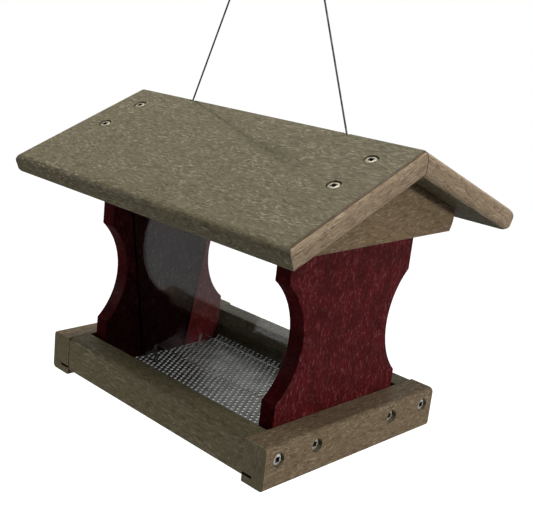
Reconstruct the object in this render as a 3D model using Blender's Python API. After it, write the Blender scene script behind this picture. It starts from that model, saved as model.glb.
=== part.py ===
"""A hanging bird feeder of plastic boards. Metres, +Z up: X runs along the ridge, +Y is the back,
and the origin is under the middle of the tray. The roof slides up the two legs of its cable."""

import math

import bmesh
import bpy
from mathutils import Matrix, Vector

# Gaps
FIT = 0.0003  # between pieces that rest on each other
HOLE_PLAY = 0.0003  # between a screw's shank and its hole, on each side
SCREW_TIP_ROOM = 0.001
PAST = 0.01  # how far a cutter runs past the face that it opens
TINY = 1e-6
ROUND_STEPS = 4  # segments of a rounded edge or corner
BORE_SIDES = 20
HOLE_SIDES = 12

# Tray of four rails
TRAY_LENGTH = 0.2286
RAIL_THICKNESS = 0.01905
RAIL_HEIGHT = 0.030
RAIL_ROUND = 0.0033  # radius along the rails' outer edges
LONG_RAIL_LIFT = 0.0028  # the long rails hang this far above the end rails' feet
LONG_RAIL_INSET = 0.0004  # from the end rails' ends

# Perforated floor, held in a kerf round the tray
SCREEN_THICKNESS = 0.0012
SCREEN_HEIGHT = 0.0055  # to its underside
SCREEN_HOLE_PITCH = 0.0102  # about twice the real sheet's 4.76 mm, for under 300 holes
SCREEN_HOLE_SHARE = 0.667  # hole width over pitch, as on the real sheet
SCREEN_HOLE_SIDES = 6
SCREEN_MARGIN = 0.001  # from the outermost holes to the rails
KERF_DEPTH = 0.0086
KERF_PLAY = 0.0003  # above and below the sheet
KERF_END_PLAY = 0.0006

# Waisted end panels
PANEL_THICKNESS = 0.0127
PANEL_WIDTH = 0.124
PANEL_SIDE_GAP = 0.00555  # from an end panel to each long rail
PANEL_EASE = 0.0008  # chamfer on the panels' outlines
WAIST_RADIUS = 0.0508
WAIST_STEPS = 14
DEEP_WAIST_WALL = 0.0052  # board left between a waist and the pane's groove
DEEP_WAIST_DROP = 0.0037  # below the middle of the panel's side
SHALLOW_WAIST_WALL = 0.0088
SHALLOW_WAIST_DROP = 0.0074

# Clear panes, leaning outwards
PANE_THICKNESS = 0.003
PANE_LEAN = math.radians(9.65)
PANE_FOOT_Y = 0.0223  # from the middle to the pane's middle at its foot
PANE_ROOF_GAP = 0.006
PANE_GROOVE_DEPTH = 0.004
PANE_GROOVE_PLAY = 0.0003
PANE_FOOT_LENGTH = 0.020  # each end of a pane stands on a foot beside its notch
NOTCH_HEIGHT = 0.017
NOTCH_ROUND = 0.003

# Roof
ROOF_END_OVERHANG = 0.021  # past the gables
ROOF_SLOPE = 0.1244  # ridge to eave, along the boards
ROOF_THICKNESS = 0.0155
ROOF_PITCH = math.radians(22.5)
ROOF_ROUND = 0.005
RIDGE_HEIGHT = 0.2123

# Gable boards under the roof's ends
GABLE_THICKNESS = 0.01905
GABLE_CLEARANCE = 0.0025  # lets the roof slide past the end panels
GABLE_WIDTH = 0.146
GABLE_SIDE = 0.01526  # height of its two ends
GABLE_CURVE_RADIUS = 0.020  # its lower corners are drawn in along an arc
GABLE_CURVE_HEIGHT = 0.0105

# Screws with a square recess
SCREW_HEAD = 0.0088
SCREW_HEAD_HEIGHT = 0.0024
SCREW_SHANK = 0.0042
SCREW_LENGTH = 0.0254  # below the head
SCREW_POINT = 0.0059  # length of its taper
SCREW_POINT_WIDTH = 0.0008
SCREW_SQUARE = 0.0032
SCREW_SQUARE_DEPTH = 0.0017
SCREW_CROWN = ((1.0, 0.5), (0.86, 0.12), (0.6, 0.0))  # shares of the head's radius and height
SCREW_SIDES = 16
COUNTERBORE_PLAY = 0.0005  # round a head
ROOF_SCREW_SINK = 0.0002
RAIL_SCREW_SINK = 0.0012
PANEL_SCREW_SINK = 0.0022
ROOF_SCREW_INSET = 0.0138  # from a gable's inner face
ROOF_SCREWS_DOWN_SLOPE = (0.0225, 0.0573)
RAIL_SCREW_HEIGHT = 0.0195
PANEL_SCREW_INSET = 0.0227  # from an end panel's side
RAIL_SCREW_INSET = 0.0113  # from a long rail's outer face

# Cable, its stops in the end panels and its hanging link
CABLE_DIAMETER = 0.0013
CABLE_INSET = 0.00165  # from an end panel to a leg's middle, at the roof's underside
CABLE_APEX_RISE = 0.2055  # above the roof's underside, where the two legs would meet
CABLE_HOLE_PLAY = 0.0016
CABLE_POINTS = 25
CABLE_STRAIGHT = 1.5  # a lower leg runs straight out of its anchor for this many diameters
CABLE_SPACING = 2.2  # between its points, in diameters
ANCHOR_DROP = 0.0115  # from the roof's underside to where a leg enters its end panel
ANCHOR_SLANT = math.radians(45)
ANCHOR_PLAY = 0.00065
STOP_DIAMETER = 0.0048
STOP_LENGTH = 0.0040
STOP_PLAY = 0.0007
STOP_COVER = 0.0016  # from the stop's outer end to the panel's face, along the hole
LINK_WIRE = 0.0032
LINK_CENTRE_X = 0.0095  # half the distance between the middles of its lower bends
LINK_RISE = 0.0165  # from there up to the middle of its upper bend
LINK_ROUND = 0.0046
EYE_PLAY = 0.0011  # beside the link's wire
EYE_STRETCH = 1.25  # an eye's length over its width
EYE_POINTS = 20
CRIMP_SIDES = 14
SLEEVE_DIAMETER = 0.0036
SLEEVE_LENGTH = 0.0090

# Heights and offsets that follow from the sizes above
TAN, COS, SIN = math.tan(ROOF_PITCH), math.cos(ROOF_PITCH), math.sin(ROOF_PITCH)
END_INNER = TRAY_LENGTH / 2 - RAIL_THICKNESS
PANEL_OUTER = END_INNER - FIT
PANEL_INNER = PANEL_OUTER - PANEL_THICKNESS
LONG_INNER = PANEL_WIDTH / 2 + PANEL_SIDE_GAP
LONG_OUTER = LONG_INNER + RAIL_THICKNESS
TRAY_DEPTH = 2 * (LONG_OUTER + LONG_RAIL_INSET)
SCREEN_TOP = SCREEN_HEIGHT + SCREEN_THICKNESS
FLOOR_SEAT = SCREEN_TOP + FIT
GABLE_INNER = PANEL_OUTER + GABLE_CLEARANCE
ROOF_LENGTH = 2 * (GABLE_INNER + GABLE_THICKNESS + ROOF_END_OVERHANG)
ROOF_SCREW_X = GABLE_INNER + ROOF_SCREW_INSET
PANEL_SCREW_Y = PANEL_WIDTH / 2 - PANEL_SCREW_INSET
RAIL_SCREW_Y = LONG_OUTER - RAIL_SCREW_INSET
CABLE_EXIT_X = PANEL_INNER - CABLE_INSET
CABLE_LEAN = CABLE_EXIT_X / CABLE_APEX_RISE  # sideways run of a leg for each unit of height
EYE_WIDTH_RADIUS = (LINK_WIRE + CABLE_DIAMETER) / 2 + EYE_PLAY
EYE_LENGTH_RADIUS = EYE_WIDTH_RADIUS * EYE_STRETCH
POLE = Vector((0, 0, 1))


def under_roof(y, gap=0.0):
    """Height of the roof's underside at a distance from the ridge, less a gap square to it."""
    return RIDGE_HEIGHT - (ROOF_THICKNESS + gap) / COS - abs(y) * TAN


PEAK = under_roof(0)
CABLE_APEX = PEAK + CABLE_APEX_RISE


def material(name, colour, roughness, metallic=0.0, transmission=0.0):
    made = bpy.data.materials.new(name)
    made.use_nodes = True
    shader = made.node_tree.nodes["Principled BSDF"]
    shader.inputs["Base Color"].default_value = (*colour, 1.0)
    shader.inputs["Roughness"].default_value = roughness
    shader.inputs["Metallic"].default_value = metallic
    shader.inputs["Transmission Weight"].default_value = transmission
    made.diffuse_color = (*colour, 1.0)
    return made


def place(name, shape, finish, location=(0, 0, 0), turn=0.0, matrix=None):
    """An object of this mesh or curve, turned about the vertical, or placed by a matrix."""
    obj = bpy.data.objects.new(name, shape)
    bpy.context.scene.collection.objects.link(obj)
    obj.location = location
    obj.rotation_euler = (0, 0, turn)
    if matrix is not None:
        obj.matrix_world = matrix
    if not shape.materials:
        shape.materials.append(finish)
    return obj


def mesh_of(bm, name):
    bmesh.ops.recalc_face_normals(bm, faces=bm.faces)
    mesh = bpy.data.meshes.new(name)
    bm.to_mesh(mesh)
    bm.free()
    mesh.shade_smooth()
    mesh.set_sharp_from_angle(angle=math.radians(35))
    return mesh


def prism(outline, low, high, along="X"):
    """A BMesh of this outline drawn out from low to high, along X or Y."""
    bm = bmesh.new()
    rings = []
    for level in (low, high):
        points = [(level, u, v) if along == "X" else (u, level, v) for u, v in outline]
        rings.append([bm.verts.new(p) for p in points])
    count = len(outline)
    bm.faces.new(rings[0][::-1])
    bm.faces.new(rings[1])
    for i in range(count):
        j = (i + 1) % count
        bm.faces.new((rings[0][i], rings[0][j], rings[1][j], rings[1][i]))
    bmesh.ops.recalc_face_normals(bm, faces=bm.faces)
    return bm


def block(low, high):
    """A box between two corners, as a BMesh."""
    (x0, y0, z0), (x1, y1, z1) = low, high
    return prism([(y0, z0), (y1, z0), (y1, z1), (y0, z1)], x0, x1)


def round_edges(bm, chosen, radius, steps):
    edges = [e for e in bm.edges if chosen(e.verts[0].co, e.verts[1].co)]
    bmesh.ops.bevel(
        bm, geom=edges, offset=radius, segments=steps, profile=0.5, affect="EDGES", clamp_overlap=False
    )
    return bm


def rod(start, end, radius, sides):
    """A cylinder between two points, as a BMesh."""
    start, end = Vector(start), Vector(end)
    axis = end - start
    bm = bmesh.new()
    bmesh.ops.create_cone(
        bm, cap_ends=True, segments=sides, radius1=radius, radius2=radius, depth=axis.length
    )
    turn = POLE.rotation_difference(axis.normalized()).to_matrix().to_4x4()
    bmesh.ops.transform(bm, matrix=Matrix.Translation((start + end) / 2) @ turn, verts=bm.verts)
    return bm


def carve(mesh, cutters, name):
    """The mesh with each cutter taken out of it, as one mesh that several objects can share."""
    body = bpy.data.objects.new("carve_body", mesh)
    bpy.context.scene.collection.objects.link(body)
    helpers = [body]
    for i, cutter in enumerate(cutters):
        tool = bpy.data.objects.new(f"carve_tool_{i}", mesh_of(cutter, "cutter"))
        tool.hide_render = True
        tool.display_type = "WIRE"
        bpy.context.scene.collection.objects.link(tool)
        helpers.append(tool)
        taken = body.modifiers.new(f"take_{i}", "BOOLEAN")
        taken.operation = "DIFFERENCE"
        taken.solver = "EXACT"
        taken.object = tool
    bpy.context.view_layer.update()
    graph = bpy.context.evaluated_depsgraph_get()
    done = bpy.data.meshes.new_from_object(body.evaluated_get(graph))
    done.name = name
    for helper in helpers:
        bpy.data.objects.remove(helper)
    done.materials.clear()
    done.shade_smooth()
    done.set_sharp_from_angle(angle=math.radians(35))
    return done


def ellipse(half_u, half_v, sides):
    """Points round an ellipse about the origin."""
    angles = [2 * math.pi * i / sides for i in range(sides)]
    return [(half_u * math.cos(t), half_v * math.sin(t)) for t in angles]


def circle(u, v, radius, sides):
    return [(u + x, v + y) for x, y in ellipse(radius, radius, sides)]


def arc(u, v, radius, start, end, steps):
    """Points along an arc, both ends included."""
    angles = [start + (end - start) * i / steps for i in range(steps + 1)]
    return [(u + radius * math.cos(t), v + radius * math.sin(t)) for t in angles]


def screw_bore(mouth, inward, sink):
    """Cutters for a screw whose head is sunk this far below the mouth: its counterbore and hole."""
    mouth, inward = Vector(mouth), Vector(inward).normalized()
    floor = sink + SCREW_HEAD_HEIGHT + FIT
    head = rod(mouth - inward * PAST, mouth + inward * floor, SCREW_HEAD / 2 + COUNTERBORE_PLAY, BORE_SIDES)
    reach = sink + SCREW_HEAD_HEIGHT + SCREW_LENGTH + SCREW_TIP_ROOM
    shank = rod(mouth, mouth + inward * reach, SCREW_SHANK / 2 + HOLE_PLAY, SCREW_SIDES)
    return head, shank


def screw_seat(mouth, inward, sink):
    """Where a screw's head top lies, with its shank pointing inward along its own -Z."""
    mouth, inward = Vector(mouth), Vector(inward).normalized()
    turn = POLE.rotation_difference(-inward).to_matrix().to_4x4()
    return Matrix.Translation(mouth + inward * sink) @ turn


def screw_mesh():
    """A screw with its head's top at the origin, its point down and a square recess."""
    under, shank = -SCREW_HEAD_HEIGHT, SCREW_SHANK / 2
    tip = under - SCREW_LENGTH
    profile = (
        (SCREW_POINT_WIDTH / 2, tip),
        (shank, tip + SCREW_POINT),
        (shank, under),
        (SCREW_HEAD / 2, under),
        *((SCREW_HEAD / 2 * wide, under * deep) for wide, deep in SCREW_CROWN),
    )
    loops = [[(x, y, z) for x, y in circle(0, 0, r, SCREW_SIDES)] for r, z in profile]
    square = []
    for x, y in circle(0, 0, 1, SCREW_SIDES):
        reach = SCREW_SQUARE / 2 / max(abs(x), abs(y))
        square.append((x * reach, y * reach))
    loops += [[(x, y, z) for x, y in square] for z in (0, -SCREW_SQUARE_DEPTH)]
    bm = bmesh.new()
    rings = [[bm.verts.new(point) for point in loop] for loop in loops]
    bm.faces.new(rings[0][::-1])
    bm.faces.new(rings[-1])
    for lower, upper in zip(rings, rings[1:]):
        for i in range(SCREW_SIDES):
            j = (i + 1) % SCREW_SIDES
            bm.faces.new((lower[i], lower[j], upper[j], upper[i]))
    return mesh_of(bm, "screw")


def end_rail_mesh():
    """The right end rail. The left one is the same board turned round."""
    outer, half = TRAY_LENGTH / 2, TRAY_DEPTH / 2
    bm = block((END_INNER, -half, 0), (outer, half, RAIL_HEIGHT))
    round_edges(bm, lambda a, b: min(a.x, b.x) > outer - TINY, RAIL_ROUND, ROUND_STEPS)
    cutters = [
        block(
            (END_INNER - PAST, -half - PAST, SCREEN_HEIGHT - KERF_PLAY),
            (END_INNER + KERF_DEPTH, half + PAST, SCREEN_TOP + KERF_PLAY),
        )
    ]
    for y, sink in ((PANEL_SCREW_Y, PANEL_SCREW_SINK), (RAIL_SCREW_Y, RAIL_SCREW_SINK)):
        for side in (-1, 1):
            cutters += screw_bore((outer, side * y, RAIL_SCREW_HEIGHT), (-1, 0, 0), sink)
    return carve(mesh_of(bm, "end_rail_blank"), cutters, "end_rail")


def long_rail_mesh():
    """The front rail, with its kerf at the back. The rear one is the same board turned round."""
    half = END_INNER - FIT
    bm = block((-half, -LONG_OUTER, LONG_RAIL_LIFT), (half, -LONG_INNER, RAIL_HEIGHT))

    def outer_and_level(a, b):
        return max(a.y, b.y) < TINY - LONG_OUTER and abs(a.z - b.z) < TINY

    round_edges(bm, outer_and_level, RAIL_ROUND, ROUND_STEPS)
    cutters = [
        block(
            (-half - PAST, -LONG_INNER - KERF_DEPTH, SCREEN_HEIGHT - KERF_PLAY),
            (half + PAST, -LONG_INNER + PAST, SCREEN_TOP + KERF_PLAY),
        )
    ]
    for side in (-1, 1):
        mouth = (side * TRAY_LENGTH / 2, -RAIL_SCREW_Y, RAIL_SCREW_HEIGHT)
        cutters.append(screw_bore(mouth, (-side, 0, 0), RAIL_SCREW_SINK)[1])
    return carve(mesh_of(bm, "long_rail_blank"), cutters, "long_rail")


def screen(finish):
    """The perforated floor, a filled outline with rows of holes staggered at 60 degrees."""
    half_x = END_INNER + KERF_DEPTH - KERF_END_PLAY
    half_y = LONG_INNER + KERF_DEPTH - KERF_END_PLAY
    radius = SCREEN_HOLE_PITCH * SCREEN_HOLE_SHARE / 2
    row_step = SCREEN_HOLE_PITCH * math.sin(math.radians(60))
    clear_x = END_INNER - radius - SCREEN_MARGIN
    rows = int((LONG_INNER - radius - SCREEN_MARGIN) / row_step)
    loops = [[(-half_x, -half_y), (half_x, -half_y), (half_x, half_y), (-half_x, half_y)]]
    for row in range(-rows, rows + 1):
        shift = SCREEN_HOLE_PITCH / 2 if row % 2 else 0.0
        reach = int((clear_x - shift) / SCREEN_HOLE_PITCH)
        first = -reach - 1 if row % 2 else -reach
        for column in range(first, reach + 1):
            x, y = shift + column * SCREEN_HOLE_PITCH, row * row_step
            loops.append(circle(x, y, radius, SCREEN_HOLE_SIDES))
    print("holes in the screen:", len(loops) - 1)
    curve = bpy.data.curves.new("tray_screen", "CURVE")
    curve.dimensions = "2D"
    curve.fill_mode = "BOTH"
    curve.extrude = SCREEN_THICKNESS / 2
    for loop in loops:
        spline = curve.splines.new("POLY")
        spline.points.add(len(loop) - 1)
        for point, (x, y) in zip(spline.points, loop):
            point.co = (x, y, 0, 1)
        spline.use_cyclic_u = True
    place("tray_screen", curve, finish, (0, 0, SCREEN_HEIGHT + SCREEN_THICKNESS / 2))


def end_panel_mesh():
    """The right end panel, with its deep waist at the front. The left one is turned round."""
    half = PANEL_WIDTH / 2
    shoulder = under_roof(half, FIT)
    outline = [(-half, FLOOR_SEAT), (half, FLOOR_SEAT)]
    outline += waist(1, SHALLOW_WAIST_WALL, SHALLOW_WAIST_DROP)
    outline += [(half, shoulder), (0, under_roof(0, FIT)), (-half, shoulder)]
    outline += waist(-1, DEEP_WAIST_WALL, DEEP_WAIST_DROP)
    bm = prism(outline, PANEL_INNER, PANEL_OUTER)

    def on_a_face(a, b):
        return abs(a.x - b.x) < TINY and max(a.z, b.z) > FLOOR_SEAT + TINY

    round_edges(bm, on_a_face, PANEL_EASE, 1)
    cutters = []
    for side in (-1, 1):
        wide = PANE_THICKNESS / 2 + PANE_GROOVE_PLAY
        groove = block(
            (PANEL_INNER - PAST, -wide, -PAST), (PANEL_INNER + PANE_GROOVE_DEPTH, wide, RIDGE_HEIGHT)
        )
        bmesh.ops.transform(groove, matrix=pane_seat(side), verts=groove.verts)
        cutters.append(groove)
        mouth = (TRAY_LENGTH / 2, side * PANEL_SCREW_Y, RAIL_SCREW_HEIGHT)
        cutters.append(screw_bore(mouth, (-1, 0, 0), PANEL_SCREW_SINK)[1])
    start, way, through = anchor_line()
    beyond = start + way * (through + PAST)
    stop_floor = start + way * (through - STOP_COVER - STOP_LENGTH - FIT)
    cutters.append(rod(start - way * PAST, beyond, CABLE_DIAMETER / 2 + ANCHOR_PLAY, HOLE_SIDES))
    cutters.append(rod(stop_floor, beyond, STOP_DIAMETER / 2 + STOP_PLAY, BORE_SIDES))
    return carve(mesh_of(bm, "end_panel_blank"), cutters, "end_panel")


def waist(side, wall, drop):
    """Points of an arc cut into an end panel's side, in the order of its outline."""
    half = PANEL_WIDTH / 2
    height = (FLOOR_SEAT + under_roof(half, FIT)) / 2 - drop
    groove = (PANE_THICKNESS / 2 + PANE_GROOVE_PLAY) / math.cos(PANE_LEAN)
    narrowest = PANE_FOOT_Y + (height - FLOOR_SEAT) * math.tan(PANE_LEAN) + groove + wall
    centre = narrowest + WAIST_RADIUS
    spread = math.acos((centre - half) / WAIST_RADIUS)
    middle = math.pi if side > 0 else 0.0
    return arc(side * centre, height, WAIST_RADIUS, middle + spread, middle - spread, WAIST_STEPS)


def anchor_line():
    """Where the right leg enters its end panel, which way its hole slants, and how long it is."""
    start = Vector((PANEL_INNER, 0, PEAK - ANCHOR_DROP))
    way = Vector((math.cos(ANCHOR_SLANT), 0, -math.sin(ANCHOR_SLANT)))
    return start, way, PANEL_THICKNESS / math.cos(ANCHOR_SLANT)


def pane_seat(side):
    """The place of the front pane's foot (side -1) or the rear pane's, leaning outwards."""
    lift = PANE_THICKNESS / 2 * math.sin(PANE_LEAN)
    seat = Matrix.Translation((0, side * PANE_FOOT_Y, FLOOR_SEAT + lift))
    return seat @ Matrix.Rotation(-side * PANE_LEAN, 4, "X")


def pane_length():
    """How far a pane reaches up its lean before its gap to the roof."""
    lean, slope = math.tan(PANE_LEAN), TAN
    outer = PANE_FOOT_Y + PANE_THICKNESS / 2 / math.cos(PANE_LEAN)
    rise = (under_roof(outer, PANE_ROOF_GAP) - FLOOR_SEAT) / (1 + lean * slope)
    return rise / math.cos(PANE_LEAN)


def pane_mesh():
    """A pane flat in XZ with its foot at z = 0 and a notch that leaves a foot at each end."""
    half = PANEL_INNER + PANE_GROOVE_DEPTH - PANE_GROOVE_PLAY
    height, notch, r = pane_length(), NOTCH_HEIGHT, NOTCH_ROUND
    reach = half - PANE_FOOT_LENGTH
    outline = [(-half, 0), (-reach, 0)]
    outline += arc(r - reach, notch - r, r, math.pi, math.pi / 2, ROUND_STEPS)
    outline += arc(reach - r, notch - r, r, math.pi / 2, 0, ROUND_STEPS)
    outline += [(reach, 0), (half, 0), (half, height), (-half, height)]
    return mesh_of(prism(outline, -PANE_THICKNESS / 2, PANE_THICKNESS / 2, "Y"), "pane")


def roof_mesh():
    """The front roof board, mitred at the ridge. The rear one is the same board turned round."""
    half, gap = ROOF_LENGTH / 2, FIT / 2
    eave_y, eave_z = -ROOF_SLOPE * COS, RIDGE_HEIGHT - ROOF_SLOPE * SIN
    under_y, under_z = eave_y + ROOF_THICKNESS * SIN, eave_z - ROOF_THICKNESS * COS
    mitre = [(-gap, under_roof(gap)), (-gap, RIDGE_HEIGHT - gap * TAN)]
    bm = prism([*mitre, (eave_y, eave_z), (under_y, under_z)], -half, half)

    def outer(a, b):
        at_eave = max(a.y, b.y) < under_y + TINY
        down_an_end = abs(a.x - b.x) < TINY and min(a.y, b.y) < -gap - TINY
        return at_eave or down_an_end

    round_edges(bm, outer, ROOF_ROUND, ROUND_STEPS)
    cutters = []
    for side in (-1, 1):
        for down in ROOF_SCREWS_DOWN_SLOPE:
            mouth = (side * ROOF_SCREW_X, -down * COS, RIDGE_HEIGHT - down * SIN)
            cutters += screw_bore(mouth, (0, SIN, -COS), ROOF_SCREW_SINK)
        ends = [leg_at(z, side) for z in (PEAK - PAST, RIDGE_HEIGHT + PAST)]
        cutters.append(rod(*ends, CABLE_DIAMETER / 2 + CABLE_HOLE_PLAY, BORE_SIDES))
    return carve(mesh_of(bm, "roof_blank"), cutters, "roof_board")


def gable_mesh():
    """The right gable board, with the screws' holes in its two slopes."""
    half = GABLE_WIDTH / 2
    bottom = under_roof(half) - GABLE_SIDE
    spread = math.asin(GABLE_CURVE_HEIGHT / GABLE_CURVE_RADIUS)
    centre, level = half - GABLE_CURVE_RADIUS, bottom + GABLE_CURVE_HEIGHT
    right = arc(centre, level, GABLE_CURVE_RADIUS, -spread, 0, ROUND_STEPS)
    right.append((half, under_roof(half, FIT)))
    left = [(-y, z) for y, z in reversed(right)]
    outline = [*right, (0, under_roof(0, FIT)), *left]
    bm = prism(outline, GABLE_INNER, GABLE_INNER + GABLE_THICKNESS)
    cutters = []
    for side in (-1, 1):
        for down in ROOF_SCREWS_DOWN_SLOPE:
            mouth = (ROOF_SCREW_X, side * down * COS, RIDGE_HEIGHT - down * SIN)
            cutters.append(screw_bore(mouth, (0, -side * SIN, -COS), ROOF_SCREW_SINK)[1])
    return carve(mesh_of(bm, "gable_blank"), cutters, "gable_board")


def leg_at(z, side=1):
    """A point of a leg's straight run. side is 1 for the right leg and -1 for the left."""
    return Vector((side * (CABLE_APEX - z) * CABLE_LEAN, 0, z))


def tube(name, points, diameter, finish, rounds, closed=False):
    """A cable or a wire along these points."""
    curve = bpy.data.curves.new(name, "CURVE")
    curve.dimensions = "3D"
    curve.bevel_depth = diameter / 2
    curve.bevel_resolution = rounds
    curve.use_fill_caps = not closed
    spline = curve.splines.new("POLY")
    spline.points.add(len(points) - 1)
    for point, where in zip(spline.points, points):
        point.co = (*where, 1)
    spline.use_cyclic_u = closed
    return place(name, curve, finish)


def smooth_route(corners, spacing):
    """Points about this far apart on a smooth curve through the corners."""
    ends = [corners[0] * 2 - corners[1], *corners, corners[-1] * 2 - corners[-2]]
    route = []
    for a, b, c, d in zip(ends, ends[1:], ends[2:], ends[3:]):
        steps = max(1, round((c - b).length / spacing))
        for k in range(steps):
            t = k / steps
            straight = 2 * b + (c - a) * t
            curved = (2 * a - 5 * b + 4 * c - d) * t**2 + (3 * b - a - 3 * c + d) * t**3
            route.append((straight + curved) / 2)
    return [*route, corners[-1]]


def link_middles():
    """The middles of the hanging link's three bends. The legs pull through the lower two."""
    base = CABLE_APEX - LINK_CENTRE_X / CABLE_LEAN
    return ((-LINK_CENTRE_X, base), (LINK_CENTRE_X, base), (0, base + LINK_RISE))


def hanging_link(finish):
    """A closed wire round the three middles, counter-clockwise from the front."""
    middles = link_middles()
    route = []
    for i, (x, z) in enumerate(middles):
        before_x, before_z = middles[i - 1]
        after_x, after_z = middles[(i + 1) % 3]
        start = math.atan2(z - before_z, x - before_x) - math.pi / 2
        end = math.atan2(after_z - z, after_x - x) - math.pi / 2
        bend = arc(x, z, LINK_ROUND, start, start + (end - start) % (2 * math.pi), 6)
        route += [(u, 0, v) for u, v in bend]
    tube("hanging_link", route, LINK_WIRE, finish, 2, closed=True)


def hanger(word, side, cable, steel):
    """One leg of the cable with its stop in the end panel, and its eye and sleeve at the link."""

    def mirrored(points):
        return [Vector((side * p.x, p.y, p.z)) for p in points]

    def crimp(name, start, along, length, diameter):
        ends = mirrored((start, start + along * length))
        place(name, mesh_of(rod(*ends, diameter / 2, CRIMP_SIDES), name), steel)

    start, way, through = anchor_line()
    stop = start + way * (through - STOP_COVER - STOP_LENGTH)
    crimp(f"cable_stop_{word}", stop, way, STOP_LENGTH, STOP_DIAMETER)

    along = (leg_at(PEAK) - leg_at(RIDGE_HEIGHT)).normalized()
    x, z = link_middles()[1]
    hook = Vector((x, 0, z)) + along * (LINK_ROUND - (LINK_WIRE + CABLE_DIAMETER) / 2 - FIT)
    middle = hook + along * EYE_LENGTH_RADIUS
    ring = [
        middle + along * u + Vector((0, v, 0))
        for u, v in ellipse(EYE_LENGTH_RADIUS, EYE_WIDTH_RADIUS, EYE_POINTS)
    ]
    tube(f"cable_eye_{word}", mirrored(ring), CABLE_DIAMETER, cable, 1, closed=True)
    sleeve = middle + along * (EYE_LENGTH_RADIUS + CABLE_DIAMETER / 2 + FIT)
    crimp(f"crimp_sleeve_{word}", sleeve, along, SLEEVE_LENGTH, SLEEVE_DIAMETER)

    join = leg_at((RIDGE_HEIGHT + PEAK) / 2)
    top = sleeve + along * (SLEEVE_LENGTH + FIT)
    above = join - along * FIT / 2
    upper = [above.lerp(top, k / (CABLE_POINTS - 1)) for k in range(CABLE_POINTS)]
    tube(f"cable_{word}_upper", mirrored(upper), CABLE_DIAMETER, cable, 2)
    lower = [
        join + along * FIT / 2,
        leg_at(PEAK),
        start - way * CABLE_DIAMETER * CABLE_STRAIGHT,
        start + way * CABLE_DIAMETER,
        stop - way * FIT,
    ]
    route = smooth_route(lower, CABLE_DIAMETER * CABLE_SPACING)
    tube(f"cable_{word}_lower", mirrored(route), CABLE_DIAMETER, cable, 2)


def build():
    for obj in list(bpy.data.objects):
        bpy.data.objects.remove(obj)
    driftwood = material("driftwood_board", (0.175, 0.150, 0.100), 0.6)
    red = material("red_board", (0.062, 0.008, 0.011), 0.5)
    clear = material("clear_acrylic", (0.9, 0.92, 0.92), 0.05, transmission=0.9)
    sheet = material("perforated_sheet", (0.45, 0.46, 0.46), 0.35, metallic=1.0)
    steel = material("screw_steel", (0.62, 0.61, 0.58), 0.3, metallic=1.0)
    cable = material("cable_steel", (0.45, 0.45, 0.45), 0.35, metallic=1.0)

    # Each twin is the same board turned round
    twins = (
        (end_rail_mesh(), "tray_rail_right", "tray_rail_left", driftwood),
        (long_rail_mesh(), "tray_rail_front", "tray_rail_rear", driftwood),
        (end_panel_mesh(), "end_panel_right", "end_panel_left", red),
        (roof_mesh(), "roof_panel_front", "roof_panel_rear", driftwood),
        (gable_mesh(), "gable_right", "gable_left", driftwood),
    )
    for mesh, name, turned, finish in twins:
        place(name, mesh, finish)
        place(turned, mesh, finish, turn=math.pi)
    screen(sheet)
    pane = pane_mesh()
    place("pane_front", pane, clear, matrix=pane_seat(-1))
    place("pane_rear", pane, clear, matrix=pane_seat(1))

    screw = screw_mesh()
    for end, side in (("left", -1), ("right", 1)):
        for slope, front in (("front", -1), ("rear", 1)):
            for i, down in enumerate(ROOF_SCREWS_DOWN_SLOPE):
                mouth = (side * ROOF_SCREW_X, front * down * COS, RIDGE_HEIGHT - down * SIN)
                seat = screw_seat(mouth, (0, -front * SIN, -COS), ROOF_SCREW_SINK)
                place(f"roof_screw_{slope}_{end}_{i + 1}", screw, steel, matrix=seat)
            for what, y, sink in (
                ("panel", PANEL_SCREW_Y, PANEL_SCREW_SINK),
                ("rail", RAIL_SCREW_Y, RAIL_SCREW_SINK),
            ):
                mouth = (side * TRAY_LENGTH / 2, front * y, RAIL_SCREW_HEIGHT)
                seat = screw_seat(mouth, (-side, 0, 0), sink)
                place(f"{what}_screw_{slope}_{end}", screw, steel, matrix=seat)

    hanger("left", -1, cable, steel)
    hanger("right", 1, cable, steel)
    hanging_link(steel)


build()
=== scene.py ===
"""The looks of the bird feeder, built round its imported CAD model. Metres, in the CAD's frame."""

import math
import random

import bmesh
import bpy
from mathutils import Matrix, Vector, noise

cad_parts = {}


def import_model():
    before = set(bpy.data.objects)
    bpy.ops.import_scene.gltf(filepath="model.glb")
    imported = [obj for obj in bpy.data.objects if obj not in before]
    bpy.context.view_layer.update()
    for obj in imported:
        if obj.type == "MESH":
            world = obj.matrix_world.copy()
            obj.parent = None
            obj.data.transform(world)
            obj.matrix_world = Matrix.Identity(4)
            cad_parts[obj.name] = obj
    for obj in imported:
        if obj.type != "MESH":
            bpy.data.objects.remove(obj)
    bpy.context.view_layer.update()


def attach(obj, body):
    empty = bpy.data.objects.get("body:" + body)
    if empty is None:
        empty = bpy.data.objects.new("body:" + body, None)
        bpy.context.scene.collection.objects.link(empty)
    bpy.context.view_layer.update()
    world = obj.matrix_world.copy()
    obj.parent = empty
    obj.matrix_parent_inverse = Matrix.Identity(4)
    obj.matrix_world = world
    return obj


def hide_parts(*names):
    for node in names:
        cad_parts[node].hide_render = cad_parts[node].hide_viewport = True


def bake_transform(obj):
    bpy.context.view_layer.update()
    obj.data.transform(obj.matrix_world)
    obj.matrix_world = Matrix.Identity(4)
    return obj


# Camera, fitted to the photograph
PHOTO_WIDTH = 533
CAMERA_AT = (0.45061, -0.47836, 0.29467)
CAMERA_AZIMUTH, CAMERA_ELEVATION, CAMERA_ROLL = 47.19, 16.04, 4.99
FOCAL_PIXELS = 938.1
PRINCIPAL_X = 187.0  # the photograph is an off-centre crop

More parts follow.
